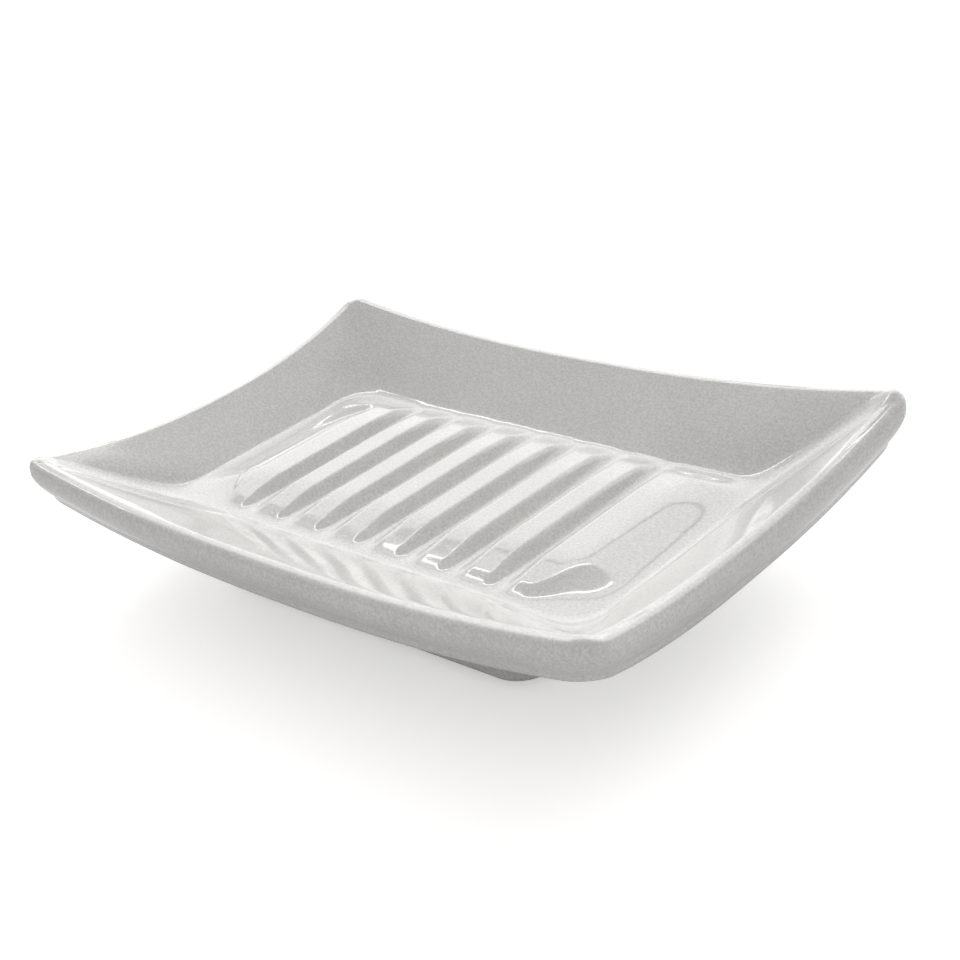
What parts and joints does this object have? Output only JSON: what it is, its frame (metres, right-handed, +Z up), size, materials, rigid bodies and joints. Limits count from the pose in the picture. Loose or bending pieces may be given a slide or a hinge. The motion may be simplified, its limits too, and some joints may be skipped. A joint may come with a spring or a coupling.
{
  "type": "soap dish",
  "caption": "Oblong soap dish with swept-up corners, a rolled rim, raised drain ribs on a flat floor and a foot ring underneath.",
  "frame": {"origin": "on the surface the dish stands on, under the middle of the dish", "axes": "+X along the long side, +Y along the short side towards the back, +Z up"},
  "size_m": [0.134, 0.0898, 0.0283],
  "materials": {
    "glaze": "white glossy glaze",
    "pad": "translucent soft pad"
  },
  "bodies": {
    "root": {"dish_body": "glaze", "pad_front_left": "pad", "pad_front_right": "pad", "pad_back_left": "pad", "pad_back_right": "pad"}
  },
  "joints": []
}
